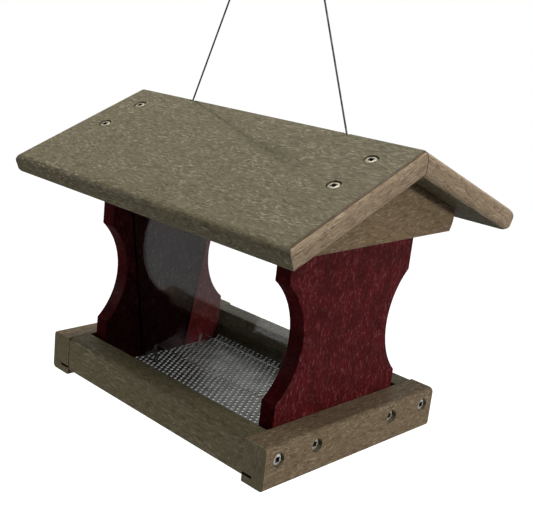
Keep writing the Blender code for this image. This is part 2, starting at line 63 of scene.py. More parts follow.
# Sizes repeated from the CAD
FIT = 0.0003
HOLE_PLAY = 0.0003
PAST = 0.01
TINY = 1e-6
TRAY_LENGTH = 0.2286
RAIL_THICKNESS = 0.01905
RAIL_HEIGHT = 0.030
RAIL_ROUND = 0.0033
LONG_RAIL_LIFT = 0.0028
LONG_RAIL_INSET = 0.0004
SCREEN_THICKNESS = 0.0012
SCREEN_HEIGHT = 0.0055
KERF_DEPTH = 0.0086
KERF_PLAY = 0.0003
KERF_END_PLAY = 0.0006
PANEL_THICKNESS = 0.0127
PANEL_WIDTH = 0.124
PANEL_SIDE_GAP = 0.00555
WAIST_RADIUS = 0.0508
DEEP_WAIST_WALL = 0.0052
DEEP_WAIST_DROP = 0.0037
SHALLOW_WAIST_WALL = 0.0088
SHALLOW_WAIST_DROP = 0.0074
PANE_THICKNESS = 0.003
PANE_LEAN = math.radians(9.65)
PANE_FOOT_Y = 0.0223
PANE_ROOF_GAP = 0.006
PANE_GROOVE_DEPTH = 0.004
PANE_GROOVE_PLAY = 0.0003
PANE_FOOT_LENGTH = 0.020
NOTCH_HEIGHT = 0.017
NOTCH_ROUND = 0.003
ROOF_END_OVERHANG = 0.021
ROOF_SLOPE = 0.1244
ROOF_THICKNESS = 0.0155
ROOF_PITCH = math.radians(22.5)
ROOF_ROUND = 0.005
RIDGE_HEIGHT = 0.2123
GABLE_THICKNESS = 0.01905
GABLE_CLEARANCE = 0.0025
GABLE_WIDTH = 0.146
GABLE_SIDE = 0.01526
GABLE_CURVE_RADIUS = 0.020
GABLE_CURVE_HEIGHT = 0.0105
SCREW_HEAD = 0.0088
SCREW_HEAD_HEIGHT = 0.0024
SCREW_SHANK = 0.0042
SCREW_LENGTH = 0.0254
SCREW_POINT = 0.0059
SCREW_SQUARE = 0.0032
SCREW_SQUARE_DEPTH = 0.0017
COUNTERBORE_PLAY = 0.0005
ROOF_SCREW_SINK = 0.0002
RAIL_SCREW_SINK = 0.0012
PANEL_SCREW_SINK = 0.0022
ROOF_SCREW_INSET = 0.0138
ROOF_SCREWS_DOWN_SLOPE = (0.0225, 0.0573)
RAIL_SCREW_HEIGHT = 0.0195
PANEL_SCREW_INSET = 0.0227
RAIL_SCREW_INSET = 0.0113
CABLE_DIAMETER = 0.0013
CABLE_INSET = 0.00165
CABLE_APEX_RISE = 0.2055
CABLE_HOLE_PLAY = 0.0016
ANCHOR_DROP = 0.0115
ANCHOR_SLANT = math.radians(45)
ANCHOR_PLAY = 0.00065
STOP_DIAMETER = 0.0048
STOP_LENGTH = 0.0040
STOP_PLAY = 0.0007
STOP_COVER = 0.0016
LINK_WIRE = 0.0032
LINK_CENTRE_X = 0.0095
LINK_RISE = 0.0165
LINK_ROUND = 0.0046
EYE_PLAY = 0.0011
EYE_STRETCH = 1.25
SLEEVE_DIAMETER = 0.0036
SLEEVE_LENGTH = 0.0090

# Detail that only the looks have
SCREEN_PITCH = 0.00476
SCREEN_HOLE = 0.0032
SCREEN_BORDER = 0.0012  # sheet left whole beside its outermost holes
STRANDS = 6
STRAND_LAY = 0.0085  # length of one turn of the strands
THREAD_PITCH = 0.0019
# The thread's outline, as shares of the shank's radius and of the pitch
THREAD_OUTLINE = ((0.10, -0.5), (0.74, -0.30), (1.06, 0.0), (0.74, 0.30), (0.10, 0.5))
# A torn ring's outline, as shares of its width and of its height
TORN_OUTLINE = ((0.0, -0.25), (0.0, 0.45), (0.35, 1.0), (0.75, 0.5), (1.0, 0.0), (1.0, -0.25))
TORN_WIDTH = 0.00075
TORN_HEIGHT = 0.00032
RECESS_REACH = 0.53  # half the recess with its rounded rim, as a share of its width
CRIMP_ROUND = 0.0006  # length of a crimped sleeve's rounded end
CRIMP_DENT = 0.0007  # half the length of the tool's dent in it
SLEEVE_FLATNESS = 0.76  # a sleeve's thickness over its width
# Half an eye from the sleeve to the hook, as shares of its length and as metres beside its middle
EYE_HALF = ((0.45, 0.00068), (-0.1, 0.0007), (-0.75, 0.0023), (-1.3, 0.0033), (-1.85, 0.0021))
# The link's weld: a swelling, and a neck on each side of it
WELD_SWELL, WELD_REACH = 0.07, 0.0009
WELD_NECK, WELD_NECK_AT, WELD_NECK_REACH = 0.03, 0.0019, 0.0004
EASE = 0.0003  # wear on sawn edges
ROOF_EASE = 0.0004
GABLE_EASE = 0.0006
PANEL_EASE = 0.0009
PANE_EASE = 0.00035
FLOOR_DROP = 0.60  # the feeder hangs this far above the floor
FLOOR_RADIUS = 4

# How squarely a face must look along the board's end to get the finish of that name
SAWN_END = 0.95
HIGHLIT_EDGE = 0.3
PANEL_FACE = 0.6
ROOF_CUT_END = 0.60
ROOF_SHADED_EDGE = 0.12
KERF_SHOWS = 0.01  # the kerf's painted shade reaches this far from an end rail's inner face, past the kerf's floor

# Light: each lamp's direction from the feeder, its distance, its two sides and its power in watts
WORLD_LIGHT = 0.004
FLOOR_PALE = 0.35
LIT_HEIGHT = 0.12  # the lamps face this point above the feeder's foot
REFLECTED_BACKDROP = 0.85
REFLECTED_FLOOR = 0.05
THROUGH_PANES = 1.12  # makes up for what the clear panes take from the white behind them
SHADED_FLOOR = 0.72  # how white the floor is of itself where the feeder's shadow falls
SHADE_REACH = (0.35, 0.80)  # where that begins to fade out and where it ends
LAMPS = (
    ("key", (-0.23, 0.17, 0.96), 2.4, (0.50, 0.055), 33),
    ("top", (-0.1, 0.05, 1.0), 2.2, (1.2, 1.2), 10),
    ("front", (-0.15, -0.5, 0.85), 2.2, (0.8, 0.8), 6.5),
    ("side", (1.0, 0.24, 0.22), 2.4, (0.35, 0.35), 24),
    ("high_side", (0.8, 0.1, 0.9), 2.4, (0.8, 0.8), 9),
    ("left", (-0.75, -0.65, 0.15), 2.2, (0.5, 0.5), 8.5),
    ("low", (-0.15, -0.6, -0.65), 0.65, (0.4, 0.4), 0.7),
)

# Board colours: the plastic itself, its pale strokes and its dark ones
WEATHERED = ((0.118, 0.100, 0.054), (0.300, 0.268, 0.182), (0.070, 0.058, 0.029))
OLIVE = ((0.140, 0.117, 0.061), (0.270, 0.236, 0.150), (0.086, 0.070, 0.035))
BROWN = ((0.198, 0.136, 0.076), (0.350, 0.270, 0.178), (0.125, 0.082, 0.043))
RAIL_BROWN = ((0.216, 0.154, 0.089), (0.385, 0.310, 0.208), (0.136, 0.093, 0.050))
END_FACE = ((0.138, 0.115, 0.061), (0.220, 0.192, 0.125), (0.098, 0.080, 0.041))
# Pale along the end rails' eased edges: a painted highlight
EDGE_HIGHLIGHT = ((0.330, 0.270, 0.170), (0.520, 0.450, 0.320), (0.180, 0.140, 0.080))
# Near black inside the end rails' kerfs: painted shade
KERF_SHADE = ((0.016, 0.013, 0.007), (0.030, 0.025, 0.015), (0.010, 0.008, 0.005))
# Dark brown along the upper rounding of the roof boards' cut ends: painted shade
ROOF_EDGE_SHADE = ((0.098, 0.066, 0.036), (0.170, 0.122, 0.074), (0.052, 0.035, 0.019))
CUT = ((0.320, 0.233, 0.148), (0.560, 0.450, 0.325), (0.200, 0.137, 0.080))
LUMBER_GLOSS = 0.12

# Maroon plastic: its dark clouds, its light ones and its pale strokes
RED = ((0.051, 0.0008, 0.0016), (0.089, 0.0020, 0.0036), (0.245, 0.078, 0.080))
RED_GLOSS = 0.08
# The end panels' edges are painted darker than their faces: painted shade
RED_EDGE_SHADE = ((0.027, 0.0006, 0.0014), (0.050, 0.0014, 0.0026), (0.110, 0.013, 0.015))
RED_EDGE_GLOSS = 0.02

# Screw steel: its dull bloom, the clean metal and how metallic it is
STEEL = ((0.52, 0.50, 0.45), (0.74, 0.72, 0.67), 0.75)
WEATHERED_STEEL = ((0.24, 0.22, 0.15), (0.38, 0.35, 0.26), 0.35)

# Clear sheet
ACRYLIC_IOR = 1.49
CLEAR_TINT = (0.97, 0.975, 0.975)

# Heights and offsets that follow from the sizes above
TAN, COS, SIN = math.tan(ROOF_PITCH), math.cos(ROOF_PITCH), math.sin(ROOF_PITCH)
END_INNER = TRAY_LENGTH / 2 - RAIL_THICKNESS
PANEL_OUTER = END_INNER - FIT
PANEL_INNER = PANEL_OUTER - PANEL_THICKNESS
LONG_INNER = PANEL_WIDTH / 2 + PANEL_SIDE_GAP
LONG_OUTER = LONG_INNER + RAIL_THICKNESS
TRAY_DEPTH = 2 * (LONG_OUTER + LONG_RAIL_INSET)
SCREEN_TOP = SCREEN_HEIGHT + SCREEN_THICKNESS
FLOOR_SEAT = SCREEN_TOP + FIT
GABLE_INNER = PANEL_OUTER + GABLE_CLEARANCE
ROOF_LENGTH = 2 * (GABLE_INNER + GABLE_THICKNESS + ROOF_END_OVERHANG)
ROOF_SCREW_X = GABLE_INNER + ROOF_SCREW_INSET
PANEL_SCREW_Y = PANEL_WIDTH / 2 - PANEL_SCREW_INSET
RAIL_SCREW_Y = LONG_OUTER - RAIL_SCREW_INSET
# How far from the middle of an end rail each pair of its screws is, and how deep
END_RAIL_SCREWS = ((PANEL_SCREW_Y, PANEL_SCREW_SINK), (RAIL_SCREW_Y, RAIL_SCREW_SINK))
CABLE_EXIT_X = PANEL_INNER - CABLE_INSET
CABLE_LEAN = CABLE_EXIT_X / CABLE_APEX_RISE
EYE_WIDTH_RADIUS = (LINK_WIRE + CABLE_DIAMETER) / 2 + EYE_PLAY
EYE_LENGTH_RADIUS = EYE_WIDTH_RADIUS * EYE_STRETCH
POLE = Vector((0, 0, 1))


def under_roof(y, gap=0.0):
    return RIDGE_HEIGHT - (ROOF_THICKNESS + gap) / COS - abs(y) * TAN


PEAK = under_roof(0)
CABLE_APEX = PEAK + CABLE_APEX_RISE


# Steps that several pieces share


def placed(name, data):
    """A new object in the scene."""
    obj = bpy.data.objects.new(name, data)
    bpy.context.scene.collection.objects.link(obj)
    return obj


def finished(obj, name):
    """The mesh that the object and its modifiers make. The object itself goes."""
    graph = bpy.context.evaluated_depsgraph_get()
    mesh = bpy.data.meshes.new_from_object(obj.evaluated_get(graph))
    mesh.name = name
    bpy.data.objects.remove(obj)
    return mesh


def bridge(bm, rings):
    """Faces between each ring of points and the next."""
    for lower, upper in zip(rings, rings[1:]):
        for i in range(len(lower)):
            j = (i + 1) % len(lower)
            bm.faces.new((lower[i], lower[j], upper[j], upper[i]))


def feed(tree, socket, value):
    """Link another node's output to the socket, or set the socket to a plain value."""
    if isinstance(value, bpy.types.NodeSocket):
        tree.links.new(value, socket)
    else:
        socket.default_value = value


def arithmetic(tree, operation, a, b):
    made = tree.nodes.new("ShaderNodeMath")
    made.operation = operation
    feed(tree, made.inputs[0], a)
    feed(tree, made.inputs[1], b)
    return made.outputs[0]


# Camera, floor and light


def camera():
    azimuth, elevation = math.radians(CAMERA_AZIMUTH), math.radians(CAMERA_ELEVATION)
    roll, flat = math.radians(CAMERA_ROLL), math.cos(elevation)
    back = Vector((math.sin(azimuth) * flat, -math.cos(azimuth) * flat, math.sin(elevation)))
    level = Vector((math.cos(azimuth), math.sin(azimuth), 0))
    upright = back.cross(level)
    right = level * math.cos(roll) + upright * math.sin(roll)
    up = upright * math.cos(roll) - level * math.sin(roll)
    data = bpy.data.cameras.new("camera")
    data.sensor_fit = "HORIZONTAL"
    data.sensor_width = 36
    data.lens = FOCAL_PIXELS / PHOTO_WIDTH * data.sensor_width
    data.shift_x = (PHOTO_WIDTH / 2 - PRINCIPAL_X) / PHOTO_WIDTH
    data.clip_start, data.clip_end = 0.01, 30
    obj = placed("camera", data)
    turn = Matrix((right, up, back)).transposed().to_4x4()
    obj.matrix_world = Matrix.Translation(CAMERA_AT) @ turn
    bpy.context.scene.camera = obj


def softbox(name, way, distance, size, power):
    """A lamp seen from the feeder in this direction, turned to face it."""
    data = bpy.data.lights.new(name, "AREA")
    data.shape = "RECTANGLE"
    data.size, data.size_y = size
    data.energy = power
    way = Vector(way).normalized()
    # The long side lies in one plane with the left leg, which keeps that leg's shadow sharp
    leg = leg_at(PEAK + 0.1, -1) - leg_at(PEAK, -1)
    long_side = (leg - way * leg.dot(way)).normalized()
    turn = Matrix((long_side, way.cross(long_side), way)).transposed().to_4x4()
    spot = Matrix.Translation(Vector((0, 0, LIT_HEIGHT)) + way * distance)
    placed(name, data).matrix_world = spot @ turn


def background(tree, reflected):
    """How much white a ray meets: all of it straight or through clear sheet, a share by reflection.

    Rays that have met a matt surface get none, so the background lights nothing.
    """
    rays = tree.nodes.new("ShaderNodeLightPath").outputs
    straight = arithmetic(tree, "LESS_THAN", rays["Glossy Depth"], 0.5)
    mirrored = arithmetic(tree, "GREATER_THAN", rays["Glossy Depth"], 0.5)
    through = arithmetic(tree, "MULTIPLY", rays["Is Transmission Ray"], THROUGH_PANES)
    ahead = arithmetic(tree, "MAXIMUM", rays["Is Camera Ray"], through)
    seen = arithmetic(tree, "MULTIPLY", straight, ahead)
    bounced = arithmetic(tree, "MAXIMUM", rays["Is Glossy Ray"], rays["Is Transmission Ray"])
    shiny = arithmetic(tree, "MULTIPLY", mirrored, bounced)
    white = arithmetic(tree, "ADD", seen, arithmetic(tree, "MULTIPLY", shiny, reflected))
    unlit = arithmetic(tree, "LESS_THAN", rays["Diffuse Depth"], 0.5)
    return arithmetic(tree, "MULTIPLY", unlit, white)


def studio():
    world = bpy.data.worlds.new("world")
    bpy.context.scene.world = world
    world.use_nodes = True
    tree = world.node_tree
    dim = tree.nodes["Background"]
    dim.inputs["Color"].default_value = (1, 1, 1, 1)
    dim.inputs["Strength"].default_value = WORLD_LIGHT
    white = tree.nodes.new("ShaderNodeBackground")
    white.inputs["Color"].default_value = (1, 1, 1, 1)
    white.inputs["Strength"].default_value = 1.0
    mix = tree.nodes.new("ShaderNodeMixShader")
    tree.links.new(background(tree, REFLECTED_BACKDROP), mix.inputs[0])
    tree.links.new(dim.outputs[0], mix.inputs[1])
    tree.links.new(white.outputs[0], mix.inputs[2])
    tree.links.new(mix.outputs[0], tree.nodes["World Output"].inputs["Surface"])

    bm = bmesh.new()
    bmesh.ops.create_circle(bm, cap_ends=True, segments=96, radius=FLOOR_RADIUS)
    mesh = bpy.data.meshes.new("floor")
    bm.to_mesh(mesh)
    bm.free()
    floor = placed("floor", mesh)
    floor.location.z = -FLOOR_DROP
    m = Maker("floor")
    m.plain("Base Color", (*[FLOOR_PALE] * 3, 1))
    m.plain("Roughness", 0.9)
    m.plain("Specular IOR Level", 0.1)
    away = m.node("ShaderNodeVectorMath", (("operation", "LENGTH"),), i0=m.place).outputs["Value"]
    white = m.ramp(away, *SHADE_REACH, SHADED_FLOOR, 1.0)
    strength = m.math("MULTIPLY", background(m.tree, REFLECTED_FLOOR), white)
    glow = m.node("ShaderNodeEmission", Color=(1, 1, 1, 1), Strength=strength)
    join = m.node("ShaderNodeAddShader", i0=m.shader.outputs[0], i1=glow.outputs[0])
    m.surface(join)
    mesh.materials.append(m.material)

    for lamp in LAMPS:
        softbox(*lamp)
    bpy.context.scene.view_settings.view_transform = "Standard"


# Meshes


def mesh_of(bm, name, smooth_under=35):
    bmesh.ops.recalc_face_normals(bm, faces=bm.faces)
    mesh = bpy.data.meshes.new(name)
    bm.to_mesh(mesh)
    bm.free()
    mesh.shade_smooth()
    mesh.set_sharp_from_angle(angle=math.radians(smooth_under))
    return mesh


def prism(outline, low, high, along="X"):
    bm = bmesh.new()
    rings = []
    for level in (low, high):
        points = [(level, u, v) if along == "X" else (u, level, v) for u, v in outline]
        rings.append([bm.verts.new(p) for p in points])
    bm.faces.new(rings[0][::-1])
    bm.faces.new(rings[1])
    bridge(bm, rings)
    bmesh.ops.recalc_face_normals(bm, faces=bm.faces)
    return bm


def block(low, high):
    (x0, y0, z0), (x1, y1, z1) = low, high
    return prism([(y0, z0), (y1, z0), (y1, z1), (y0, z1)], x0, x1)


def bevel(bm, edges, width, steps, clamp):
    bmesh.ops.bevel(
        bm, geom=edges, offset=width, segments=steps, profile=0.5, affect="EDGES", clamp_overlap=clamp
    )


def round_edges(bm, chosen, radius, steps):
    edges = [e for e in bm.edges if chosen(e.verts[0].co, e.verts[1].co)]
    bevel(bm, edges, radius, steps, False)


def ease_edges(bm, width=EASE, steps=2, over=40):
    """Every edge that is still sharper than this many degrees gets a little rounding."""
    edges = [e for e in bm.edges if e.is_manifold and e.calc_face_angle(0) > math.radians(over)]
    bevel(bm, edges, width, steps, True)


def rod(start, end, radius, sides):
    start, end = Vector(start), Vector(end)
    axis = end - start
    bm = bmesh.new()
    bmesh.ops.create_cone(
        bm, cap_ends=True, segments=sides, radius1=radius, radius2=radius, depth=axis.length
    )
    turn = POLE.rotation_difference(axis.normalized()).to_matrix().to_4x4()
    bmesh.ops.transform(bm, matrix=Matrix.Translation((start + end) / 2) @ turn, verts=bm.verts)
    return bm


def carve(mesh, cutters, name):
    body = placed("carve_body", mesh)
    tools = [placed(f"carve_tool_{i}", mesh_of(cutter, "cutter")) for i, cutter in enumerate(cutters)]
    for i, tool in enumerate(tools):
        taken = body.modifiers.new(f"take_{i}", "BOOLEAN")
        taken.operation = "DIFFERENCE"
        taken.solver = "EXACT"
        taken.object = tool
    bpy.context.view_layer.update()
    done = finished(body, name)
    for tool in tools:
        bpy.data.objects.remove(tool)
    return even_shading(done)


def even_shading(mesh, smooth_under=50):
    """Smooth shading in which a large flat face keeps its own normal beside its rounded edges."""
    mesh.materials.clear()
    mesh.shade_smooth()
    mesh.set_sharp_from_angle(angle=math.radians(smooth_under))
    helper = placed("shading_helper", mesh)
    weighted = helper.modifiers.new("weighted", "WEIGHTED_NORMAL")
    weighted.keep_sharp = True
    weighted.weight = 80
    return finished(helper, mesh.name)


def ellipse(half_u, half_v, sides):
    angles = [2 * math.pi * i / sides for i in range(sides)]
    return [(half_u * math.cos(t), half_v * math.sin(t)) for t in angles]


def circle(u, v, radius, sides):
    return [(u + x, v + y) for x, y in ellipse(radius, radius, sides)]


def arc(u, v, radius, start, end, steps):
    angles = [start + (end - start) * i / steps for i in range(steps + 1)]
    return [(u + radius * math.cos(t), v + radius * math.sin(t)) for t in angles]


def piece(name, mesh, finish, body, nodes, matrix=None):
    """A piece that stands for these CAD nodes and rides on their body."""
    obj = placed(name, mesh)
    if matrix is not None:
        obj.matrix_world = matrix
    if not mesh.materials:
        for made in finish if isinstance(finish, (list, tuple)) else [finish]:
            mesh.materials.append(made)
    if body:
        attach(obj, body)
    if nodes:
        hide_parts(*nodes)
    return obj


# Boards, floor sheet, panes and screws


def screw_bore(mouth, inward, sink):
    mouth, inward = Vector(mouth), Vector(inward).normalized()
    floor = sink + SCREW_HEAD_HEIGHT + FIT
    head = rod(mouth - inward * PAST, mouth + inward * floor, SCREW_HEAD / 2 + COUNTERBORE_PLAY, 48)
    reach = sink + SCREW_HEAD_HEIGHT + SCREW_LENGTH + 0.001
    shank = rod(mouth, mouth + inward * reach, SCREW_SHANK / 2 + HOLE_PLAY, 24)
    return head, shank


def screw_seat(mouth, inward, sink):
    mouth, inward = Vector(mouth), Vector(inward).normalized()
    turn = POLE.rotation_difference(-inward).to_matrix().to_4x4()
    return Matrix.Translation(mouth + inward * sink) @ turn


def end_rail_mesh():
    outer, half = TRAY_LENGTH / 2, TRAY_DEPTH / 2
    bm = block((END_INNER, -half, 0), (outer, half, RAIL_HEIGHT))

    def outer_and_long(a, b):
        return min(a.x, b.x) > outer - TINY and abs(a.z - b.z) < TINY

    round_edges(bm, outer_and_long, RAIL_ROUND, 8)
    ease_edges(bm)
    cutters = [
        block(
            (END_INNER - PAST, -half - PAST, SCREEN_HEIGHT - KERF_PLAY),
            (END_INNER + KERF_DEPTH, half + PAST, SCREEN_TOP + KERF_PLAY),
        )
    ]
    for y, sink in END_RAIL_SCREWS:
        for side in (-1, 1):
            cutters += screw_bore((outer, side * y, RAIL_SCREW_HEIGHT), (-1, 0, 0), sink)
    return carve(mesh_of(bm, "end_rail_blank"), cutters, "end_rail")


def end_rail_finish(face):
    """Which finish a face of an end rail has: 0 board, 1 sawn end, 2 edge with a painted highlight, 3 kerf
    in painted shade.
    """
    at, square_on = face.center, abs(face.normal.y)
    level = SCREEN_HEIGHT - 2 * KERF_PLAY < at.z < SCREEN_TOP + 2 * KERF_PLAY
    if level and at.x < END_INNER + KERF_SHOWS:
        return 3
    if square_on > SAWN_END:
        return 1
    top_edge = at.z > RAIL_HEIGHT - EASE and at.x < END_INNER + EASE
    return 2 if square_on > HIGHLIT_EDGE or top_edge else 0


def end_panel_finish(face):
    """Which finish a face of an end panel has: 0 its two large faces, 1 its edges, painted darker as shade.
    """
    return int(abs(face.normal.x) < PANEL_FACE)


def roof_finish(face):
    """Which finish a face of a roof board has: 0 board, 1 cut end, 2 the rounded edge above it, painted
    dark as shade.
    """
    end_on = abs(face.normal.x)
    if end_on > ROOF_CUT_END:
        return 1
    return 2 if end_on > ROOF_SHADED_EDGE and face.normal.z > 0 else 0


def screw_finish(face):
    """Which finish a face of a screw has: 0 steel, 1 the driver's recess, painted near black as shade."""
    x, y, z = face.center
    return int(max(abs(x), abs(y)) < SCREW_SQUARE * RECESS_REACH and z > -SCREW_HEAD_HEIGHT)


def long_rail_mesh():
    half = END_INNER - FIT
    bm = block((-half, -LONG_OUTER, LONG_RAIL_LIFT), (half, -LONG_INNER, RAIL_HEIGHT))

    def outer_and_level(a, b):
        return max(a.y, b.y) < TINY - LONG_OUTER and abs(a.z - b.z) < TINY

    round_edges(bm, outer_and_level, RAIL_ROUND, 8)
    ease_edges(bm)
    cutters = [
        block(
            (-half - PAST, -LONG_INNER - KERF_DEPTH, SCREEN_HEIGHT - KERF_PLAY),
            (half + PAST, -LONG_INNER + PAST, SCREEN_TOP + KERF_PLAY),
        )
    ]
    for side in (-1, 1):
        mouth = (side * TRAY_LENGTH / 2, -RAIL_SCREW_Y, RAIL_SCREW_HEIGHT)
        cutters.append(screw_bore(mouth, (-side, 0, 0), RAIL_SCREW_SINK)[1])
    return carve(mesh_of(bm, "long_rail_blank"), cutters, "long_rail")


def screen_mesh():
    """The perforated sheet at its real hole spacing, rows staggered at 60 degrees."""
    half_x = END_INNER + KERF_DEPTH - KERF_END_PLAY
    half_y = LONG_INNER + KERF_DEPTH - KERF_END_PLAY
    radius = SCREEN_HOLE / 2
    row_step = SCREEN_PITCH * math.sin(math.radians(60))
    clear_x, clear_y = half_x - radius - SCREEN_BORDER, half_y - radius - SCREEN_BORDER
    rows = int(clear_y / row_step)
    loops = [[(-half_x, -half_y), (half_x, -half_y), (half_x, half_y), (-half_x, half_y)]]
    for row in range(-rows, rows + 1):
        shift = SCREEN_PITCH / 2 if row % 2 else 0.0
        reach = int((clear_x - shift) / SCREEN_PITCH)
        first = -reach - 1 if row % 2 else -reach
        for column in range(first, reach + 1):
            x, y = shift + column * SCREEN_PITCH, row * row_step
            loops.append(circle(x, y, radius, 12))
    curve = bpy.data.curves.new("screen", "CURVE")
    curve.dimensions = "2D"
    curve.fill_mode = "BOTH"
    curve.extrude = SCREEN_THICKNESS / 2
    for loop in loops:
        spline = curve.splines.new("POLY")
        spline.points.add(len(loop) - 1)
        for point, (x, y) in zip(spline.points, loop):
            point.co = (x, y, 0, 1)
        spline.use_cyclic_u = True
    mesh = finished(placed("screen_helper", curve), "screen")
    mesh.transform(Matrix.Translation((0, 0, SCREEN_HEIGHT + SCREEN_THICKNESS / 2)))
    mesh.materials.clear()
    mesh.shade_smooth()
    mesh.set_sharp_from_angle(angle=math.radians(40))
    return mesh


def waist(side, wall, drop):
    half = PANEL_WIDTH / 2
    height = (FLOOR_SEAT + under_roof(half, FIT)) / 2 - drop
    groove = (PANE_THICKNESS / 2 + PANE_GROOVE_PLAY) / math.cos(PANE_LEAN)
    narrowest = PANE_FOOT_Y + (height - FLOOR_SEAT) * math.tan(PANE_LEAN) + groove + wall
    centre = narrowest + WAIST_RADIUS
    spread = math.acos((centre - half) / WAIST_RADIUS)
    middle = math.pi if side > 0 else 0.0
    return arc(side * centre, height, WAIST_RADIUS, middle + spread, middle - spread, 40)


def end_panel_mesh():
    half = PANEL_WIDTH / 2
    shoulder = under_roof(half, FIT)
    outline = [(-half, FLOOR_SEAT), (half, FLOOR_SEAT)]
    outline += waist(1, SHALLOW_WAIST_WALL, SHALLOW_WAIST_DROP)
    outline += [(half, shoulder), (0, under_roof(0, FIT)), (-half, shoulder)]
    outline += waist(-1, DEEP_WAIST_WALL, DEEP_WAIST_DROP)
    bm = prism(outline, PANEL_INNER, PANEL_OUTER)
    round_edges(bm, lambda a, b: abs(a.x - b.x) < TINY, PANEL_EASE, 3)
    cutters = []
    for side in (-1, 1):
        wide = PANE_THICKNESS / 2 + PANE_GROOVE_PLAY
        groove = block(
            (PANEL_INNER - PAST, -wide, -PAST), (PANEL_INNER + PANE_GROOVE_DEPTH, wide, RIDGE_HEIGHT)
        )
        bmesh.ops.transform(groove, matrix=pane_seat(side), verts=groove.verts)
        cutters.append(groove)
        mouth = (TRAY_LENGTH / 2, side * PANEL_SCREW_Y, RAIL_SCREW_HEIGHT)
        cutters.append(screw_bore(mouth, (-1, 0, 0), PANEL_SCREW_SINK)[1])
    start, way, through = anchor_line()
    beyond = start + way * (through + PAST)
    stop_floor = start + way * (through - STOP_COVER - STOP_LENGTH - FIT)
    cutters.append(rod(start - way * PAST, beyond, CABLE_DIAMETER / 2 + ANCHOR_PLAY, 24))
    cutters.append(rod(stop_floor, beyond, STOP_DIAMETER / 2 + STOP_PLAY, 24))
    return carve(mesh_of(bm, "end_panel_blank"), cutters, "end_panel")


def pane_seat(side):
    lift = PANE_THICKNESS / 2 * math.sin(PANE_LEAN)
    seat = Matrix.Translation((0, side * PANE_FOOT_Y, FLOOR_SEAT + lift))
    return seat @ Matrix.Rotation(-side * PANE_LEAN, 4, "X")


def pane_mesh():
    """A pane with polished edges, flat in XZ, whose notch leaves a foot at each end."""
    outer = PANE_FOOT_Y + PANE_THICKNESS / 2 / math.cos(PANE_LEAN)
    rise = (under_roof(outer, PANE_ROOF_GAP) - FLOOR_SEAT) / (1 + math.tan(PANE_LEAN) * TAN)
    half = PANEL_INNER + PANE_GROOVE_DEPTH - PANE_GROOVE_PLAY
    height, notch, r = rise / math.cos(PANE_LEAN), NOTCH_HEIGHT, NOTCH_ROUND
    reach = half - PANE_FOOT_LENGTH
    outline = [(-half, 0), (-reach, 0)]
    outline += arc(r - reach, notch - r, r, math.pi, math.pi / 2, 10)
    outline += arc(reach - r, notch - r, r, math.pi / 2, 0, 10)
    outline += [(reach, 0), (half, 0), (half, height), (-half, height)]
    bm = prism(outline, -PANE_THICKNESS / 2, PANE_THICKNESS / 2, "Y")
    round_edges(bm, lambda a, b: abs(a.y - b.y) < TINY, PANE_EASE, 2)
    mesh = even_shading(mesh_of(bm, "pane"))
    for face in mesh.polygons:
        face.material_index = int(abs(face.normal.y) < 0.5)
    return mesh


def roof_mesh():
    half, gap = ROOF_LENGTH / 2, FIT / 2
    eave_y, eave_z = -ROOF_SLOPE * COS, RIDGE_HEIGHT - ROOF_SLOPE * SIN
    under_y, under_z = eave_y + ROOF_THICKNESS * SIN, eave_z - ROOF_THICKNESS * COS
    mitre = [(-gap, under_roof(gap)), (-gap, RIDGE_HEIGHT - gap * TAN)]
    bm = prism([*mitre, (eave_y, eave_z), (under_y, under_z)], -half, half)

    def outer(a, b):
        if abs(a.x - b.x) > TINY:
            return max(a.y, b.y) < under_y + TINY
        return min(a.y, b.y) < under_y + TINY < max(a.y, b.y)

    round_edges(bm, outer, ROOF_ROUND, 8)
    ease_edges(bm, ROOF_EASE)
    cutters = []
    for side in (-1, 1):
        for down in ROOF_SCREWS_DOWN_SLOPE:
            mouth = (side * ROOF_SCREW_X, -down * COS, RIDGE_HEIGHT - down * SIN)
            cutters += screw_bore(mouth, (0, SIN, -COS), ROOF_SCREW_SINK)
        ends = [leg_at(z, side) for z in (PEAK - PAST, RIDGE_HEIGHT + PAST)]
        cutters.append(rod(*ends, CABLE_DIAMETER / 2 + CABLE_HOLE_PLAY, 32))
    return carve(mesh_of(bm, "roof_blank"), cutters, "roof_board")


def gable_mesh():
    half = GABLE_WIDTH / 2
    bottom = under_roof(half) - GABLE_SIDE
    spread = math.asin(GABLE_CURVE_HEIGHT / GABLE_CURVE_RADIUS)
    centre, level = half - GABLE_CURVE_RADIUS, bottom + GABLE_CURVE_HEIGHT
    right = arc(centre, level, GABLE_CURVE_RADIUS, -spread, 0, 10)
    right.append((half, under_roof(half, FIT)))
    left = [(-y, z) for y, z in reversed(right)]
    outline = [*right, (0, under_roof(0, FIT)), *left]
    bm = prism(outline, GABLE_INNER, GABLE_INNER + GABLE_THICKNESS)
    ease_edges(bm, GABLE_EASE)
    cutters = []
    for side in (-1, 1):
        for down in ROOF_SCREWS_DOWN_SLOPE:
            mouth = (ROOF_SCREW_X, side * down * COS, RIDGE_HEIGHT - down * SIN)
            cutters.append(screw_bore(mouth, (0, -side * SIN, -COS), ROOF_SCREW_SINK)[1])
    return carve(mesh_of(bm, "gable_blank"), cutters, "gable_board")


